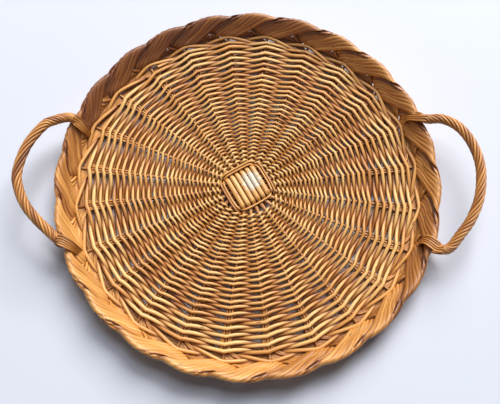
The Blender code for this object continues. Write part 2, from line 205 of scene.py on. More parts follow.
# Middle line of each handle in mm: band over the border at one end, rope, and band at the other end
HANDLE_LINES = {
    "right": (
        ((158.6, 70.0, 9.0), (159.6, 70.0, 15.5), (162.8, 68.8, 23.6), (170.0, 65.4, 29.2)),
        ((178.5, 62.6, 30.0), (190.6, 61.5, 33.0), (204.0, 52.5, 36.5), (214.0, 36.4, 39.0),
         (219.5, 15.7, 40.8), (219.3, -3.5, 41.2), (214.8, -24.2, 41.0), (205.6, -43.4, 39.0),
         (196.0, -56.0, 36.5), (187.5, -66.5, 33.0), (181.5, -69.0, 31.2)),
        ((176.0, -66.6, 31.0), (171.4, -62.6, 30.8), (167.4, -59.0, 28.6), (165.2, -57.2, 22.5),
         (164.6, -56.8, 14.0)),
    ),
    "left": (
        ((-160.0, 54.4, 8.5), (-160.8, 55.0, 17.0), (-163.6, 57.0, 24.6), (-168.2, 60.6, 29.4)),
        ((-173.0, 63.4, 31.4), (-179.0, 62.4, 34.0), (-188.0, 58.6, 36.3), (-197.8, 52.2, 38.0),
         (-211.0, 30.0, 40.5), (-216.9, 2.9, 41.2), (-213.0, -15.0, 41.0), (-205.5, -29.6, 40.0),
         (-195.0, -42.0, 38.0), (-183.3, -52.8, 35.5), (-177.5, -58.0, 33.2)),
        ((-173.0, -60.2, 33.0), (-168.0, -62.6, 32.0), (-163.2, -65.0, 28.6), (-160.2, -66.8, 21.5),
         (-159.0, -67.4, 12.0)),
    ),
}
HANDLE_STEPS = 7
ROPE_RADIUS = 5.0 * MM
ROPE_RODS = 8
ROPE_ROD = 2.7 * MM
ROPE_ROD_FLATNESS = 0.9
ROPE_TURNS = 3.4
ROPE_OVERRUN = 0.03
ROPE_STARTS = np.arange(ROPE_RODS) / ROPE_RODS
CORE_WIDTH = 4.4 * MM
CAD_STRANDS = 5
# A band has this many rods side by side; at the back the others lie under it
BAND_RODS = 5
BAND_ROD = 2.1 * MM
BAND_PITCH = 2.3 * MM
UNDER_LEVEL = 2.0 * MM
# How much narrower a band gets towards its end: at the back and at the front
BAND_TAPERS = {"right": (0.1, 0.1), "left": (0.7, 0.4)}
BAND_TAPER_POWER = 1.5
# In points of the line: length of a band's taper, and of the change from rope to band
BAND_LENGTH = 4 * HANDLE_STEPS
BAND_BLEND = 9
# Way out, along and up in mm of the rods that wrap down outside the border
HOOK_ROWS = ((0, 0, 0), (0.5, -1.5, -3.0), (1.0, -2.5, -8.0), (-0.5, -3.0, -14.0), (-5.0, -3.5, -19.5),
             (-10, -4, -23))
HOOK_STEPS = 4

# Tone of the rods from 0, pale, to 1, dark: its limits, and the middle and spread of each kind
PALEST = 0.02
DARKEST = 0.95
SPLIT_TONE = (0.22, 0.08)
THROUGH_TONE = (0.35, 0.12)
TIE_TONE = (0.45, 0.08)
WEAVER_TONES = ((0.12, 0.16), (0.26, 0.16))
LOCK_TONE = (0.35, 0.05)
BUNDLE_TONE = (0.34, 0.06)
STAKE_SPREAD = 0.05
ROPE_TONE = (0.56, 0.13)
CORE_TONE = 0.5
# Painted shade: how much darker the stakes get towards the back and the right, whose inner slopes the key
# lamp leaves in shade, and towards the front
BACK_SHADE = 0.58
RIGHT_SHADE = 0.12
FRONT_SHADE = 0.20

ROD_SIDES = 8
STICK_SIDES = 10
# Each rod starts somewhere along this length of the grain, and edges sharper than this stay sharp
GRAIN_LENGTH = 9.0
SHARP_ANGLE = math.radians(62)

# Points, upward directions, widths and thicknesses along a rod, and its tone from pale to dark
Rod = namedtuple("Rod", "points ups widths heights tone")


def polar(radius, angle, height=0.0):
    """Point at a radius and an angle round the tray's axis."""
    return np.array((radius * math.cos(angle), radius * math.sin(angle), height))


def unit(vectors):
    """Vectors of length 1 in the same directions."""
    vectors = np.asarray(vectors, float)
    return vectors / np.linalg.norm(vectors, axis=-1, keepdims=True)


def smooth_rows(rows, steps):
    """Rows of numbers on a smooth curve through the given ones, that many for each stretch."""
    rows = np.asarray(rows, float)
    padded = np.vstack((2 * rows[0] - rows[1], rows, 2 * rows[-1] - rows[-2]))
    made = []
    for index in range(len(rows) - 1):
        before, start, end, after = padded[index:index + 4]
        for run in np.arange(steps) / steps:
            made.append(0.5 * (2 * start + (end - before) * run
                               + (2 * before - 5 * start + 4 * end - after) * run ** 2
                               + (3 * start - before - 3 * end + after) * run ** 3))
    made.append(rows[-1])
    return np.array(made)


def willow_rod(points, width, tone, height=None, ups=UP):
    """Rod along some points; sizes may be one number or one for each point."""
    points = np.asarray(points, float)
    widths = np.broadcast_to(width, len(points))
    heights = widths if height is None else np.broadcast_to(height, len(points))
    return Rod(points, np.broadcast_to(ups, points.shape), widths, heights, tone)


def swept_rings(rod, sides):
    """Rings of surface points along a rod, and each point's place in the rod's own grain."""
    ahead = unit(np.gradient(rod.points, axis=0))
    across = unit(np.cross(ahead, rod.ups))
    above = np.cross(across, ahead)
    turns = np.arange(sides) * TURN / sides
    wide = np.outer(rod.widths / 2, np.cos(turns))
    high = np.outer(rod.heights / 2, np.sin(turns))
    rings = rod.points[:, None] + wide[..., None] * across[:, None] + high[..., None] * above[:, None]
    steps = np.linalg.norm(np.diff(rod.points, axis=0), axis=1)
    run = np.concatenate(((0.0,), np.cumsum(steps)))
    grain = np.stack((np.broadcast_to(run[:, None], wide.shape), wide, high), axis=-1)
    return rings, grain


def rods_piece(name, rods, material, nodes, sides=ROD_SIDES):
    """One object of some rods, which stands for CAD nodes."""
    points, grain, tones, flanks, faces, cuts = [], [], [], [], [], []
    # How far to its side each point of a rod lies, which sets the painted shade on its flanks
    flank = np.abs(np.cos(np.arange(sides) * TURN / sides))
    start = 0
    for rod in rods:
        rings, places = swept_rings(rod, sides)
        places = places + (chance.uniform(0, GRAIN_LENGTH), 0, 0)
        corner = start + np.arange(len(rings) * sides).reshape(len(rings), sides)
        beside = np.roll(corner, -1, axis=1)
        quads = np.stack((corner[:-1], corner[1:], beside[1:], beside[:-1]), axis=-1).reshape(-1, 4)
        faces += quads.tolist() + [corner[0].tolist(), corner[-1][::-1].tolist()]
        cuts += [0.0] * len(quads) + [1.0, 1.0]
        points.append(rings.reshape(-1, 3))
        grain.append(places.reshape(-1, 3))
        tones.append(np.broadcast_to(rod.tone, len(rings)).repeat(sides))
        flanks.append(np.tile(flank, len(rings)))
        start += len(rings) * sides
    mesh = bpy.data.meshes.new(name)
    mesh.from_pydata(np.concatenate(points).tolist(), [], faces)
    mesh.attributes.new("rod_grain", "FLOAT_VECTOR", "POINT").data.foreach_set(
        "vector", np.concatenate(grain).ravel())
    mesh.attributes.new("rod_tone", "FLOAT", "POINT").data.foreach_set("value", np.concatenate(tones))
    mesh.attributes.new("rod_flank", "FLOAT", "POINT").data.foreach_set("value", np.concatenate(flanks))
    mesh.attributes.new("rod_cut", "FLOAT", "FACE").data.foreach_set("value", cuts)
    mesh.shade_smooth()
    mesh.set_sharp_from_angle(angle=SHARP_ANGLE)
    mesh.materials.append(material)
    piece = bpy.data.objects.new(name, mesh)
    bpy.context.collection.objects.link(piece)
    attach(piece, "root")
    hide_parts(*nodes)
    return piece


def add_node(tree, kind, inputs=None, **settings):
    """Shader node with its settings, and with values or links for its inputs."""
    node = tree.nodes.new(kind)
    for key, value in settings.items():
        setattr(node, key, value)
    for key, value in (inputs or {}).items():
        if isinstance(value, bpy.types.NodeSocket):
            tree.links.new(value, node.inputs[key])
        else:
            node.inputs[key].default_value = value
    return node


def grain_noise(tree, place, along, across, detail):
    """Noise stretched along the rods: its grain's length and width in metres."""
    scaled = add_node(tree, "ShaderNodeMapping", {
        "Vector": place, "Scale": (1 / along, 1 / across, 1 / across)})
    noise = add_node(tree, "ShaderNodeTexNoise", {
        "Vector": scaled.outputs["Vector"], "Scale": 1.0, "Detail": detail, "Roughness": 0.6})
    return noise.outputs["Fac"]


def remap(tree, value, from_low, from_high, to_low, to_high):
    """Value moved from one range to another."""
    node = add_node(tree, "ShaderNodeMapRange", {
        "Value": value, "From Min": from_low, "From Max": from_high, "To Min": to_low, "To Max": to_high})
    return node.outputs["Result"]


def from_noise(tree, noise, low, high):
    """Value between two limits that follows a noise; most of a noise lies between 0.3 and 0.7."""
    return remap(tree, noise, 0.3, 0.7, low, high)


def stored(tree, name, output="Fac"):
    """One of the values that rods_piece stores in a mesh."""
    return add_node(tree, "ShaderNodeAttribute", attribute_name=name).outputs[output]


def mixed(tree, factor, first, second, blend="MIX"):
    """Two colours blended."""
    node = tree.nodes.new("ShaderNodeMix")
    node.data_type = "RGBA"
    node.blend_type = blend
    for socket, value in zip((node.inputs[0], node.inputs[6], node.inputs[7]), (factor, first, second)):
        if isinstance(value, bpy.types.NodeSocket):
            tree.links.new(value, socket)
        else:
            socket.default_value = value
    return node.outputs[2]


# Straw, honey, amber and brown, as linear colours
TONES = (
    (0.00, (0.970, 0.610, 0.230, 1)),
    (0.35, (0.810, 0.390, 0.100, 1)),
    (0.70, (0.440, 0.165, 0.034, 1)),
    (1.00, (0.200, 0.058, 0.011, 1)),
)
CUT_WOOD = (0.80, 0.62, 0.36, 1)
# Length and width of the fine grain and of the broad patches, and how far the patches shift the tone
FINE_GRAIN = (14 * MM, 0.35 * MM)
BROAD_GRAIN = (45 * MM, 2.6 * MM)
PATCH_SHIFT = 0.17
# The fine grain's dark and pale limits for red, green and blue, and its relief
STREAKS = {"Red": (0.84, 1.06), "Green": (0.79, 1.07), "Blue": (0.70, 1.10)}
GRAIN_RELIEF = 0.12 * MM
GRAIN_STRENGTH = 0.35
# Knots: colour, spacing along and round a rod, and share of it where a knot is full and where it ends
KNOT = (0.17, 0.075, 0.022, 1)
KNOT_SPACING = (22 * MM, 7 * MM, 7 * MM)
KNOT_FULL = 0.07
KNOT_END = 0.14
KNOT_STRENGTH = 0.75
# Painted shade darkens the middle of the weave's thickness, where the rods shade one another: distances from
# the floor's middle
CREVICE_DEEP = 0.6 * MM
CREVICE_CLEAR = 3.0 * MM
CREVICE_SHADE = (0.42, 0.25, 0.12, 1)
# Painted shade darkens the flanks of each rod too, from this share of its half width out to its side
FLANK_START = 0.62
FLANK_SHADE = (0.34, 0.18, 0.08, 1)
# How strong that painted shade is in most slots, and in a few others
FLANK_SHADE_SHARE = 0.80
FLANK_SHADE_SHARES = {"border_stakes": 0.75, "handle_rods": 0.75}
# The wax is worn off the cross in a ragged patch: its middle, radii, edge's play and noise scale
WORN_WOOD = (0.80, 0.74, 0.62, 1)
WORN_MIDDLE = (4 * MM, 6 * MM, FLOOR_TOP)
WORN_FULL = 7 * MM
WORN_END = 11 * MM
WORN_PLAY = 4 * MM
WORN_SCALE = 420.0
WORN_STRENGTH = 0.85
# Roughness of the rods where the fine grain is low and high, and the wax over it
ROUGH_LOW = 0.50
ROUGH_HIGH = 0.36
WAX_WEIGHT = 0.18
WAX_ROUGHNESS = 0.28


def waxed_colour(tree, place, fine):
    """Tone of each rod with its patches, streaks and knots."""
    broad = grain_noise(tree, place, *BROAD_GRAIN, 2)
    shift = from_noise(tree, broad, -PATCH_SHIFT, PATCH_SHIFT)
    summed = add_node(tree, "ShaderNodeMath", {0: stored(tree, "rod_tone"), 1: shift}, operation="ADD")
    ramp = add_node(tree, "ShaderNodeValToRGB", {"Fac": summed.outputs[0]})
    stops = ramp.color_ramp.elements
    while len(stops) < len(TONES):
        stops.new(0.5)
    for stop, (position, colour) in zip(stops, TONES):
        stop.position = position
        stop.color = colour
    streaks = {name: from_noise(tree, fine, *limits) for name, limits in STREAKS.items()}
    streak = add_node(tree, "ShaderNodeCombineColor", streaks).outputs["Color"]
    colour = mixed(tree, 1.0, ramp.outputs["Color"], streak, "MULTIPLY")
    spots = add_node(tree, "ShaderNodeMapping", {
        "Vector": place, "Scale": tuple(1 / spacing for spacing in KNOT_SPACING)})
    cells = add_node(tree, "ShaderNodeTexVoronoi", {"Vector": spots.outputs["Vector"], "Scale": 1.0})
    knot = remap(tree, cells.outputs["Distance"], KNOT_FULL, KNOT_END, KNOT_STRENGTH, 0.0)
    return mixed(tree, knot, colour, KNOT)


def painted_crevice_shade(tree, colour):
    """Colour with painted shade that gets darker towards the middle of the weave's thickness."""
    where = add_node(tree, "ShaderNodeTexCoord").outputs["Object"]
    height = add_node(tree, "ShaderNodeSeparateXYZ", {"Vector": where}).outputs["Z"]
    away = add_node(tree, "ShaderNodeMath", {0: height, 1: FLOOR_MIDDLE}, operation="SUBTRACT")
    away = add_node(tree, "ShaderNodeMath", {0: away.outputs[0]}, operation="ABSOLUTE")
    crevice_shade = remap(tree, away.outputs[0], CREVICE_DEEP, CREVICE_CLEAR, 1.0, 0.0)
    return mixed(tree, crevice_shade, colour, CREVICE_SHADE, "MULTIPLY")


def worn_cross(tree, colour):
    """Colour with the pale worn patch on top of the cross."""
    where = add_node(tree, "ShaderNodeTexCoord").outputs["Object"]
    near = add_node(tree, "ShaderNodeVectorMath", {0: where, 1: WORN_MIDDLE},
                    operation="DISTANCE").outputs["Value"]
    ragged = add_node(tree, "ShaderNodeTexNoise", {"Vector": where, "Scale": WORN_SCALE, "Detail": 4.0})
    play = from_noise(tree, ragged.outputs["Fac"], -WORN_PLAY, WORN_PLAY)
    edge = add_node(tree, "ShaderNodeMath", {0: near, 1: play}, operation="ADD")
    worn = remap(tree, edge.outputs[0], WORN_FULL, WORN_END, WORN_STRENGTH, 0.0)
    return mixed(tree, worn, colour, WORN_WOOD)


def willow_material(name, flank_shade_share, worn=False, shaded_crevices=False):
    """Waxed willow: a tone for each rod, grain along it, knots and pale cut ends, with painted shade on the
    rods' flanks and, in the weave, in its crevices.
    """
    material = bpy.data.materials.new(name)
    material.use_nodes = True
    tree = material.node_tree
    shader = tree.nodes["Principled BSDF"]
    place = stored(tree, "rod_grain", "Vector")
    fine = grain_noise(tree, place, *FINE_GRAIN, 3)
    colour = waxed_colour(tree, place, fine)
    # Painted shade on each rod's flanks
    flank = remap(tree, stored(tree, "rod_flank"), FLANK_START, 1.0, 0.0, flank_shade_share)
    colour = mixed(tree, flank, colour, FLANK_SHADE, "MULTIPLY")
    colour = mixed(tree, stored(tree, "rod_cut"), colour, CUT_WOOD)
    # Painted shade in the weave's crevices
    if shaded_crevices:
        colour = painted_crevice_shade(tree, colour)
    if worn:
        colour = worn_cross(tree, colour)
    tree.links.new(colour, shader.inputs["Base Color"])
    tree.links.new(from_noise(tree, fine, ROUGH_LOW, ROUGH_HIGH), shader.inputs["Roughness"])
    bump = add_node(tree, "ShaderNodeBump", {
        "Height": fine, "Strength": GRAIN_STRENGTH, "Distance": GRAIN_RELIEF})
    tree.links.new(bump.outputs["Normal"], shader.inputs["Normal"])
    shader.inputs["Coat Weight"].default_value = WAX_WEIGHT
    shader.inputs["Coat Roughness"].default_value = WAX_ROUGHNESS
    return material


def rod_tone(middle, spread):
    """Tone of one rod."""
    return float(np.clip(chance.normal(middle, spread), PALEST, DARKEST))


spoke_angles = FIRST_SPOKE + np.arange(SPOKES) * SPOKE_STEP
spoke_angles = spoke_angles + chance.uniform(-SPOKE_PLAY, SPOKE_PLAY, SPOKES)


def stick_rod(place, angle, tone):
    """Round end of a stick, from inside the cross out to the floor's edge."""
    step = place - (STICKS_PER_ARM - 1) / 2
    fan = angle - round((angle - CROSS_TURN) / (TURN / ARMS)) * (TURN / ARMS) - CROSS_TURN
    arm = angle - fan
    offset = CROSS_PITCH * step
    kink = offset / math.tan(SPOKE_STEP * step)
    outward = polar(1, fan)
    points = [np.array((kink - back, offset, 0)) for back in KINK_BACKS]
    points += [outward * radius for radius in STICK_RADII]
    points = smooth_rows(points, 3)
    turned = [polar(math.hypot(x, y), math.atan2(y, x) + arm, FLOOR_MIDDLE) for x, y, _ in points]
    reach = np.linalg.norm(points[:, :2], axis=1)
    stations = (kink, TAPER_RADIUS, FLOOR_RADIUS)
    widths = np.interp(reach, stations, STICK_WIDTHS)
    return willow_rod(turned, widths, tone, np.interp(reach, stations, STICK_HEIGHTS))


def split_half(place, side, tone):
    """Half of a pierced stick, which bows over or under the sticks that pass through it."""
    offset = CROSS_PITCH * (place - (STICKS_PER_ARM - 1) / 2)
    rows = [(-x, *rest) for x, *rest in SPLIT_STATIONS[:0:-1]] + list(SPLIT_STATIONS)
    rows = smooth_rows(rows, 3) * MM
    turn = CROSS_TURN + TURN / ARMS
    points = [polar(math.hypot(x, offset), math.atan2(offset, x) + turn, FLOOR_MIDDLE + side * rise)
              for x, rise, _, _ in rows]
    return willow_rod(points, rows[:, 2], tone, rows[:, 3])


def through_middle(place, tone):
    """Middle of a stick that passes through the split ones."""
    offset = CROSS_PITCH * (place - (STICKS_PER_ARM - 1) / 2)
    points = [polar(math.hypot(x, offset), math.atan2(offset, x) + CROSS_TURN, FLOOR_MIDDLE)
              for x in np.linspace(-THROUGH_HALF_LENGTH, THROUGH_HALF_LENGTH, THROUGH_POINTS)]
    return willow_rod(points, THROUGH_WIDTH, tone, STICK_HEIGHT)


def add_cross(materials):
    """Split sticks and the sticks that pass through them."""
    for place in range(STICKS_PER_ARM):
        opposite = STICKS_PER_ARM - 1 - place
        # The arms follow one another round the cross: a through stick's end, a split one's, and again
        ends = [(place, 0), (place, 1), (opposite, 2), (opposite, 3)]
        spokes = [(step, spoke_angles[step + STICKS_PER_ARM * arm]) for step, arm in ends]
        tone = rod_tone(*SPLIT_TONE)
        rods = [split_half(place, side, tone) for side in (1, -1)]
        rods += [stick_rod(*spokes[arm], tone) for arm in (3, 1)]
        rods_piece(f"split_stick_{place + 1}", rods, materials["pierced_sticks"],
                   [f"pierced_stick_{place + 1}"], STICK_SIDES)
        tone = rod_tone(*THROUGH_TONE)
        rods = [through_middle(place, tone)]
        rods += [stick_rod(*spokes[arm], tone) for arm in (0, 2)]
        rods_piece(f"through_rod_{place + 1}", rods, materials["through_sticks"],
                   [f"through_stick_{place + 1}"], STICK_SIDES)


def tie_rod(distance, width, over_arms, tone):
    """Rod laid square round the cross, over some arms and under the others."""
    points = []
    for arm in range(ARMS + 1):
        lift = (STICK_HEIGHT + width) / 2 * (1 if arm % ARMS in over_arms else -1)
        for fan in np.linspace(-OUTER_FAN, OUTER_FAN, TIE_POINTS):
            out = distance / math.cos(fan)
            if abs(fan) == OUTER_FAN:
                out -= TIE_CORNER
            points.append(polar(out, CROSS_TURN + arm * TURN / ARMS + fan, FLOOR_MIDDLE + lift))
    return willow_rod(smooth_rows(points[:ARMS * TIE_POINTS + 1], 3), width, tone, width * TIE_FLATNESS)


def add_ties(materials):
    """Rods that bind the cross before the weave begins."""
    for name, node, loops in TIES:
        rods = [tie_rod(*loop, rod_tone(*TIE_TONE)) for loop in loops]
        rods_piece(name, rods, materials["bindings"], [node])


def weaver_points(first_over, play):
    """One rod of the twisted pair, from the cross out: points, widths and the stretch of each."""
    points, widths, stretches = [], [], []
    first_step = WEAVE_ROUNDS[0] * SPOKES
    for step in range(first_step, int(WEAVE_ROUNDS[-1] * SPOKES)):
        turns = np.array((step, step + 1)) / SPOKES
        radii = np.interp(turns, WEAVE_ROUNDS, WEAVE_RADII) + play[[step - first_step, step - first_step + 1]]
        pitch = np.interp(turns[0] + 0.5, WEAVE_ROUNDS, WEAVE_RADII)
        pitch -= np.interp(turns[0] - 0.5, WEAVE_ROUNDS, WEAVE_RADII)
        width = np.interp(turns[0], WEAVE_ROUNDS, ROD_WIDTHS)
        angles = [spoke_angles[(step + ahead) % SPOKES] for ahead in (0, 1)]
        angles[1] += TURN if angles[1] < angles[0] else 0
        start, end = (polar(radius, angle) for radius, angle in zip(radii, angles))
        outward = polar(1, sum(angles) / 2)
        leaving = (step + first_over) % 2 == 0
        lift = (STICK_TIP + width * ROD_FLATNESS) / 2
        for run in GAP_STEPS:
            lean = LEAVING_SHARE if leaving else RISING_SHARE
            aside = lean * pitch * math.sin(math.pi * run ** LEAN_POWER)
            height = lift * math.cos(math.pi * run) * (1 if leaving else -1)
            points.append(start + (end - start) * run + outward * aside + UP * (FLOOR_MIDDLE + height))
            widths.append(width)
            stretches.append(step)
    return np.array(points), np.array(widths), np.array(stretches)


def add_weavers(materials):
    """The twisted pair, in rods that are joined where they pass under a stick."""
    play = chance.normal(0, RADIUS_PLAY, int((WEAVE_ROUNDS[-1] - WEAVE_ROUNDS[0]) * SPOKES) + 2)
    weavers = zip("ab", (0, 1), ("pale_weavers", "dark_weavers"), WEAVER_TONES)
    for letter, first_over, slot, tone in weavers:
        points, widths, stretches = weaver_points(first_over, play)
        run = np.concatenate(((0.0,), np.cumsum(np.linalg.norm(np.diff(points, axis=0), axis=1))))
        first = 0
        count = 0
        while first < len(points) - 1:
            length = chance.uniform(SHORTEST_ROD, LONGEST_ROD)
            last = int(np.searchsorted(run, run[first] + length))
            under = [index for index in range(last, len(points))
                     if index % len(GAP_STEPS) == 0 and (stretches[index] + first_over) % 2 == 1]
            last = under[0] if under and len(points) - under[0] > FEWEST_POINTS else len(points) - 1
            share = np.linspace(BUTT_SHARE, TIP_SHARE, last - first + 1)
            count += 1
            thick = widths[first:last + 1] * share
            rod = willow_rod(points[first:last + 1], thick, rod_tone(*tone), thick * ROD_FLATNESS)
            rods_piece(f"weaver_{letter}_{count:02d}", [rod], materials[slot],
                       ["floor_weaver_" + letter])
            first = last


def lock_points(phase):
    """One rod of the floor's edge: over a spoke, out and under the next two, and up again from within."""
    lift = (STICK_TIP + LOCK_WIDTH * ROD_FLATNESS) / 2
    rows = []
    for lap in range(SPOKES // LOCK_RODS):
        rows += [(lap * LOCK_RODS + passed, radius * MM, share * lift) for passed, radius, share in LOCK_PATH]
    rows.append((SPOKES, rows[0][1], rows[0][2]))
    rows = smooth_rows(rows, 2)
    turned = np.append(spoke_angles, spoke_angles + TURN)
    angles = np.interp(rows[:, 0] - phase + LOCK_RODS, np.arange(2 * SPOKES), turned)
    return [polar(radius, angle, FLOOR_MIDDLE + height) for (_, radius, height), angle in zip(rows, angles)]


def add_lock(materials):
    """Three thicker rods that close the floor's edge."""
    for phase in range(LOCK_RODS):
        rod = willow_rod(lock_points(phase), LOCK_WIDTH, rod_tone(*LOCK_TONE), LOCK_WIDTH * ROD_FLATNESS)
        rods_piece(f"lock_rod_{phase + 1}", [rod], materials["edge_rods"],
                   [f"edge_rod_{phase + 1}"])


stake_rows = smooth_rows(STAKE_PATH, 4)


def around(radii, angles, heights):
    """Points at some radii, angles and heights round the tray's axis."""
    return np.stack((radii * np.cos(angles), radii * np.sin(angles), heights), axis=1)


def stake_on_rim(spoke, lane):
    """A stake past the floor's edge: points, upward directions, spokes passed, first radius and turn."""
    end = np.interp(lane, (0, 0.5, 1), STAKE_ENDS) + chance.uniform(-STAKE_END_PLAY, STAKE_END_PLAY)
    rows = stake_rows[stake_rows[:, 0] < end]
    passed, radii, heights = rows.T * ((1,), (MM,), (MM,))
    slope = np.gradient(np.stack((radii, heights), axis=1), axis=0)
    normal = unit(np.stack((slope[:, 1], -slope[:, 0]), axis=1))
    leafing = np.clip(passed / LEAF_RUN_SHARE, 0, 1)
    rim = np.clip((passed - RIM_START) / RIM_RUN, 0, 1)
    fan = np.clip(passed / FAN_RUN, 0, 1) * (1 - rim)
    lift = rim * (np.interp(lane, (0, 0.5, 1), LEAF_LIFTS) + chance.normal(0, LIFT_PLAY))
    lift = lift - fan * np.interp(lane, (0, 1), FAN_LIFTS)
    shares = BUNDLE_START_SHARE + passed + lane * (FAN_SHARE + (LEAF_SHARE - FAN_SHARE) * leafing)
    arc = np.sin(math.pi * np.mod(shares - NOTCH_SHARE, 1)) - SCALLOP_MIDDLE
    bulge = SCALLOP * arc * np.interp(passed, SCALLOP_RUN, (0, 1, 1, 0))
    radii = radii + normal[:, 0] * lift + bulge
    heights = heights + normal[:, 1] * lift + SCALLOP_RISE * bulge
    heights = heights - np.clip((passed - end + END_RUN) / END_RUN, 0, 1) ** 2 * END_DIP
    angles = spoke_angles[spoke] + shares * SPOKE_STEP
    ups = around(normal[:, 0], angles, normal[:, 1])
    return around(radii, angles, heights), ups, passed, radii[0], shares[0] * SPOKE_STEP


def stake_by_spoke(spoke, stake, edge_radius, edge_turn):
    """Points of a stake beside its spoke, and on its bend out to where it passes the floor's edge."""
    side, layer, inner = STAKE_SEATS[stake]
    end = SEAT_END * MM
    rows = []
    for reach in np.linspace(inner + chance.uniform(-SEAT_PLAY, SEAT_PLAY), SEAT_END, SEAT_POINTS) * MM:
        rows.append((reach, side * MM / reach, FLOOR_MIDDLE + layer * MM))
    level = layer * MM if side > 0 else BEND_UNDER
    for run in BEND_STEPS:
        reach = end + (edge_radius - end) * run ** BEND_OUT_POWER
        turn = side / SEAT_END * (1 - run) + edge_turn * run ** BEND_TURN_POWER
        rows.append((reach, turn, FLOOR_MIDDLE + level * (1 - run) - BEND_DROP))
    return [polar(reach, spoke_angles[spoke] + turn, height) for reach, turn, height in rows]


def bundle_rods(spoke):
    """Stakes of one bundle: beside the spoke, fanned out at the floor's edge, round the rim and over it."""
    east, north = polar(1, spoke_angles[spoke])[:2]
    # A random tone for the bundle, with painted shade towards the back, the right and the front
    bundle_tone_and_shade = chance.normal(*BUNDLE_TONE) + BACK_SHADE * max(north, 0) ** 2 + RIGHT_SHADE * max(east, 0)
    bundle_tone_and_shade += FRONT_SHADE * max(-north, 0)
    rods = []
    for stake in range(STAKES):
        lane = stake / (STAKES - 1)
        rim_points, rim_ups, passed, *edge = stake_on_rim(spoke, lane)
        seat = stake_by_spoke(spoke, stake, *edge)
        points = np.vstack((seat, rim_points))
        ups = np.vstack((np.tile(-UP, (len(seat), 1)), rim_ups))
        # Painted shadow that the next leaf casts on this leaf's last stakes
        seam_shadow = np.interp(lane, SEAM_LANES, (0, SEAM_SHADOW)) * np.interp(passed, SEAM_RUN, (0, 1, 1, 0))
        seam_shadow = np.concatenate((np.zeros(len(seat)), seam_shadow))
        widths = np.linspace(STAKE_THIN, STAKE_WIDTHS[0], len(seat), endpoint=False)
        widths = np.concatenate((widths, np.interp(passed, STAKE_RUN, STAKE_WIDTHS)))
        flatness = np.interp(passed, STAKE_RUN, STAKE_FLATNESS)
        thick = widths * np.concatenate((flatness[:1].repeat(len(seat)), flatness))
        tone = rod_tone(bundle_tone_and_shade, STAKE_SPREAD) + seam_shadow
        rods.append(willow_rod(points, widths, tone, thick, ups))
    return rods


def add_border(materials):
    """One bundle of stakes beside each spoke."""
    for spoke in range(SPOKES):
        rods_piece(f"stakes_{spoke + 1:02d}", bundle_rods(spoke), materials["border_stakes"],
                   [f"border_bundle_{spoke + 1:02d}"])


def handle_line(side_name):
    """A handle's middle line, its side and up directions, share and run of its rope, and rope's ends."""
    first, rope, last = HANDLE_LINES[side_name]
    points = smooth_rows(np.array(first + rope + last) * MM, HANDLE_STEPS)
    ahead = unit(np.gradient(points, axis=0))
    level = ahead * (1, 1, 0)
    side = unit(np.cross(unit(level), UP))
    places = np.arange(len(points))
    start = len(first) * HANDLE_STEPS
    end = start + (len(rope) - 1) * HANDLE_STEPS
    twisted = np.interp(places, (start - BAND_BLEND, start, end, end + BAND_BLEND), (0, 1, 1, 0))
    twisted = twisted * twisted * (3 - 2 * twisted)
    run = (places - start) / (end - start)
    return points, side, np.cross(side, ahead), twisted, run, (start, end)


def band_orders(run, ends):
    """For each end of the rope, the rods that lie in its band over the border, in their order."""
    orders = []
    for end in ends:
        phases = TURN * (ROPE_STARTS - ROPE_TURNS * run[end])
        over = np.argsort(np.sin(phases))[ROPE_RODS - BAND_RODS:]
        orders.append(sorted(over, key=lambda item: np.cos(phases[item])))
    return orders


def band_places(rod, side_name, points, ends, orders):
    """How far across and under the bands a rod lies at each point, and the stretch that it covers."""
    places = np.arange(len(points))
    middle = (len(points) - 1) / 2
    across = np.zeros(len(points))
    under = np.zeros(len(points))
    first = 0
    last = len(points)
    for half, (end, order) in enumerate(zip(ends, orders)):
        mine = places < middle if half == 0 else places >= middle
        if rod in order:
            away = np.clip(np.abs(places - end) / BAND_LENGTH, 0, 1)
            lane = (order.index(rod) - (BAND_RODS - 1) / 2) * BAND_PITCH
            taper = BAND_TAPERS[side_name][half] * away ** BAND_TAPER_POWER
            across = np.where(mine, lane * (1 - taper), across)
        elif points[end][1] > 0:
            others = [item for item in range(ROPE_RODS) if item not in order]
            across = np.where(mine, (others.index(rod) - 1) * BAND_PITCH, across)
            under = np.where(mine, UNDER_LEVEL, under)
        elif half == 0:
            first = end
        else:
            last = end + 1
    return across, under, first, last


def hooked(path, ups, widths, side_name):
    """A rod whose last point is followed by a hook that wraps down outside the border."""
    start = path[-1]
    out = unit(start * (1, 1, 0))
    along = np.cross(out, UP) * math.copysign(1, start[1] * start[0]) * (-1 if side_name == "right" else 1)
    rows = [start + (out * away + along * aside + UP * lift) * MM for away, aside, lift in HOOK_ROWS]
    hook = smooth_rows(rows, HOOK_STEPS)
    path = np.vstack((path[:-1], hook))
    ups = np.vstack((ups[:-1], ups[-1:].repeat(len(hook), 0)))
    return path, ups, np.concatenate((widths[:-1], widths[-1:].repeat(len(hook))))


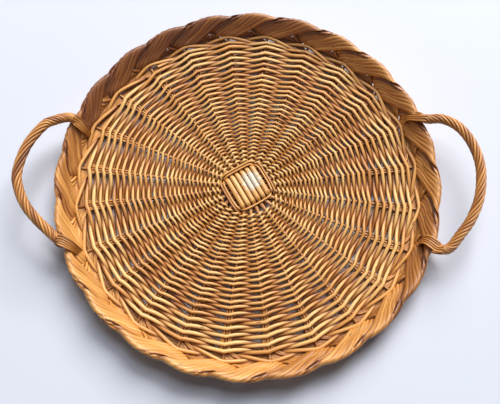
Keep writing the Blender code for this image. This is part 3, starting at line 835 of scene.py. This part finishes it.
def handle_rods(side_name):
    """Rods of a handle: twisted round its bow, side by side over the border, and down in or outside it."""
    points, side, above, twisted, run, ends = handle_line(side_name)
    winding = ROPE_RADIUS - ROPE_ROD / 2
    orders = band_orders(run, ends)
    rods = []
    for rod in range(ROPE_RODS):
        phase = TURN * (ROPE_STARTS[rod] - ROPE_TURNS * np.clip(run, -ROPE_OVERRUN, 1 + ROPE_OVERRUN))
        out = np.cos(phase)[:, None] * side + np.sin(phase)[:, None] * above
        across, under, first, last = band_places(rod, side_name, points, ends, orders)
        path = points + (twisted * winding)[:, None] * out + ((1 - twisted) * across)[:, None] * side
        path = path - ((1 - twisted) * under)[:, None] * above
        ups = unit(twisted[:, None] * out + (1 - twisted)[:, None] * above)
        widths = BAND_ROD + (ROPE_ROD - BAND_ROD) * twisted
        shape = [rows[first:last] for rows in (path, ups, widths)]
        if first:
            shape = [rows[::-1] for rows in hooked(*(rows[::-1] for rows in shape), side_name)]
        if last < len(points):
            shape = hooked(*shape, side_name)
        path, ups, widths = shape
        rods.append(willow_rod(path, widths, rod_tone(*ROPE_TONE), widths * ROPE_ROD_FLATNESS, ups))
    return rods


def add_handles(materials):
    """Rope handles round their straight inner rods."""
    for side_name in HANDLE_LINES:
        strands = [f"handle_strand_{side_name}_{place}" for place in range(1, CAD_STRANDS + 1)]
        splices = [f"handle_splice_{side_name}_{end}" for end in ("back", "front")]
        for count, rod in enumerate(handle_rods(side_name)):
            nodes = strands + splices if count == 0 else [strands[count % len(strands)]]
            rods_piece(f"handle_rod_{side_name}_{count + 1}", [rod], materials["handle_rods"],
                       nodes)
        points, _, above, _, _, (start, end) = handle_line(side_name)
        core = willow_rod(points[start:end + 1], CORE_WIDTH, CORE_TONE, None, above[start:end + 1])
        rods_piece("handle_heart_" + side_name, [core], materials["handle_cores"],
                   ["handle_core_" + side_name])


# Half the side of the floor under the tray, its level, colour and roughness
STAGE_HALF = 3.0
STAGE_LEVEL = -0.2 * MM
STAGE_COLOUR = (0.74, 0.78, 0.90, 1)
STAGE_ROUGHNESS = 0.9


def add_stage():
    """Pale floor under the tray."""
    corners = [(x * STAGE_HALF, y * STAGE_HALF, STAGE_LEVEL) for x, y in ((-1, -1), (1, -1), (1, 1), (-1, 1))]
    floor = bpy.data.meshes.new("floor")
    floor.from_pydata(corners, [], [(0, 1, 2, 3)])
    cloth = bpy.data.materials.new("floor")
    cloth.use_nodes = True
    shader = cloth.node_tree.nodes["Principled BSDF"]
    shader.inputs["Base Color"].default_value = STAGE_COLOUR
    shader.inputs["Roughness"].default_value = STAGE_ROUGHNESS
    floor.materials.append(cloth)
    stage = bpy.data.objects.new("floor", floor)
    bpy.context.collection.objects.link(stage)


# Camera: height above the horizon, distance, sensor in mm, and how many pixels the tray's middle is
# left of the picture's middle and above it
CAMERA_HEIGHT = math.radians(72)
CAMERA_DISTANCE = 0.65
SENSOR_WIDTH = 36
PICTURE_WIDTH = 500
CENTRE_LEFT = 2.5
CENTRE_ABOVE = 13
# Lamps: name, azimuth, elevation, distance, size, watts and colour
LAMPS = (
    ("key", 66, 41, 5.0, 2.9, 312, (1.0, 0.97, 0.92)),
    ("sky", 84, 62, 5.0, 2.6, 108, (0.93, 0.96, 1.0)),
    ("fill", 250, 70, 2.2, 1.2, 1.0, (0.95, 0.97, 1.0)),
)
# World: its colour, and its strength as a light and where it is seen
BACKDROP = (0.93, 0.95, 1.0, 1)
WORLD_LIGHT = 0.04
WORLD_SEEN = 0.80


def add_camera():
    """Camera at the photograph's angle, a few pixels off the tray's middle."""
    lens = bpy.data.cameras.new("camera")
    lens.sensor_width = SENSOR_WIDTH
    lens.lens = lens.sensor_width * CAMERA_DISTANCE / (PICTURE_WIDTH * MM)
    lens.shift_x = CENTRE_LEFT / PICTURE_WIDTH
    lens.shift_y = -CENTRE_ABOVE / PICTURE_WIDTH
    lens.clip_start = 0.01
    camera = bpy.data.objects.new("camera", lens)
    direction = Vector((0, -math.cos(CAMERA_HEIGHT), math.sin(CAMERA_HEIGHT)))
    camera.location = direction * CAMERA_DISTANCE
    camera.rotation_euler = direction.to_track_quat("Z", "Y").to_euler()
    bpy.context.collection.objects.link(camera)
    bpy.context.scene.camera = camera


def add_lamp(name, azimuth, elevation, distance, size, power, colour):
    """Soft square lamp that looks at the tray."""
    light = bpy.data.lights.new(name, "AREA")
    light.size = size
    light.energy = power
    light.color = colour
    lamp = bpy.data.objects.new(name, light)
    lift = math.radians(elevation)
    way = math.radians(azimuth)
    direction = Vector((math.cos(lift) * math.cos(way), math.cos(lift) * math.sin(way), math.sin(lift)))
    lamp.location = direction * distance
    lamp.rotation_euler = direction.to_track_quat("Z", "Y").to_euler()
    bpy.context.collection.objects.link(lamp)


def add_world():
    """Soft light from all round; the camera sees a pale backdrop."""
    world = bpy.data.worlds.new("studio")
    bpy.context.scene.world = world
    world.use_nodes = True
    tree = world.node_tree
    path = tree.nodes.new("ShaderNodeLightPath")
    seen = add_node(tree, "ShaderNodeMath", {
        0: path.outputs["Is Camera Ray"], 1: path.outputs["Is Glossy Ray"]}, operation="ADD")
    seen = add_node(tree, "ShaderNodeMath", {0: seen.outputs[0], 1: path.outputs["Is Transmission Ray"]},
                    operation="ADD", use_clamp=True)
    back = tree.nodes["Background"]
    back.inputs["Color"].default_value = BACKDROP
    tree.links.new(remap(tree, seen.outputs[0], 0, 1, WORLD_LIGHT, WORLD_SEEN), back.inputs["Strength"])


SLOTS = ("pierced_sticks", "through_sticks", "bindings", "pale_weavers", "dark_weavers", "edge_rods",
         "border_stakes", "handle_cores", "handle_rods")
# Slots whose rods get painted shade in the weave's crevices
CREVICE_SHADED_SLOTS = SLOTS[:6]
materials = {slot: willow_material(slot + "_willow", FLANK_SHADE_SHARES.get(slot, FLANK_SHADE_SHARE),
                                   slot == "pierced_sticks", slot in CREVICE_SHADED_SLOTS)
             for slot in SLOTS}
add_camera()
add_cross(materials)
add_ties(materials)
add_weavers(materials)
add_lock(materials)
add_border(materials)
add_handles(materials)
add_stage()
add_world()
for lamp_settings in LAMPS:
    add_lamp(*lamp_settings)
bpy.context.scene.view_settings.view_transform = "Standard"
